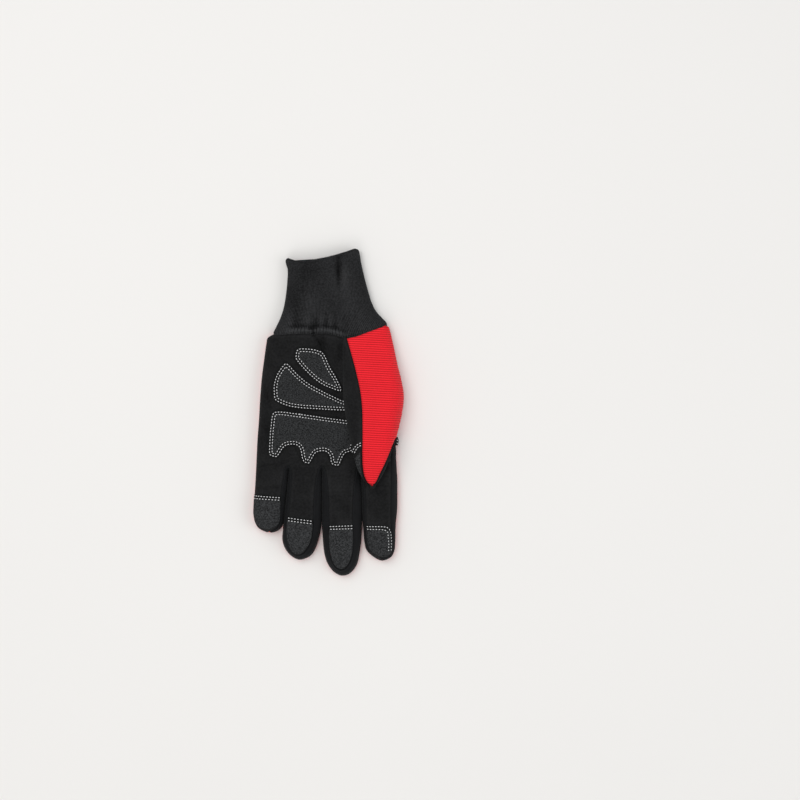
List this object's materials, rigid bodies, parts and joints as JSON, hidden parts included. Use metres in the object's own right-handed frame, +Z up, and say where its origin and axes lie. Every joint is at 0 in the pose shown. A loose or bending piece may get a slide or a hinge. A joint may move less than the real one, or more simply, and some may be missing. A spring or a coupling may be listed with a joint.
{
  "type": "chainsaw glove",
  "caption": "Left-hand work glove lying palm up with its thumb folded over: black knit cuff, black leather palm with grip pads, red ribbed fabric back, open hollow for wrist, fingers and thumb.",
  "frame": {"origin": "centre of the bounding box in plan, on the table that the glove lies on", "axes": "+Y from the fingertips to the cuff's mouth, +Z up from the table through the back of the hand to the palm, +X towards the thumb's side"},
  "size_m": [0.1232, 0.2674, 0.029],
  "materials": {
    "knit": "matt black rib knit",
    "palm_leather": "matt black suede-like synthetic leather",
    "red_fabric": "ribbed red fabric with a slight sheen",
    "side_strip": "smooth black cloth",
    "grip_pad": "speckled charcoal grip coating"
  },
  "bodies": {
    "root": {"knit_cuff": "knit", "palm_panel": "palm_leather", "thumb_front": "palm_leather", "back_panel": "red_fabric", "thumb_back": "red_fabric", "little_ring_gusset": "side_strip", "ring_middle_gusset": "side_strip", "middle_index_gusset": "side_strip", "index_side_strip": "side_strip", "wrist_pad": "grip_pad", "heel_pad": "grip_pad", "knuckle_pad": "grip_pad", "little_tip": "grip_pad", "ring_tip": "grip_pad", "middle_tip": "grip_pad", "index_tip": "grip_pad", "thumb_tip": "grip_pad", "web_patch": "grip_pad"}
  },
  "joints": []
}
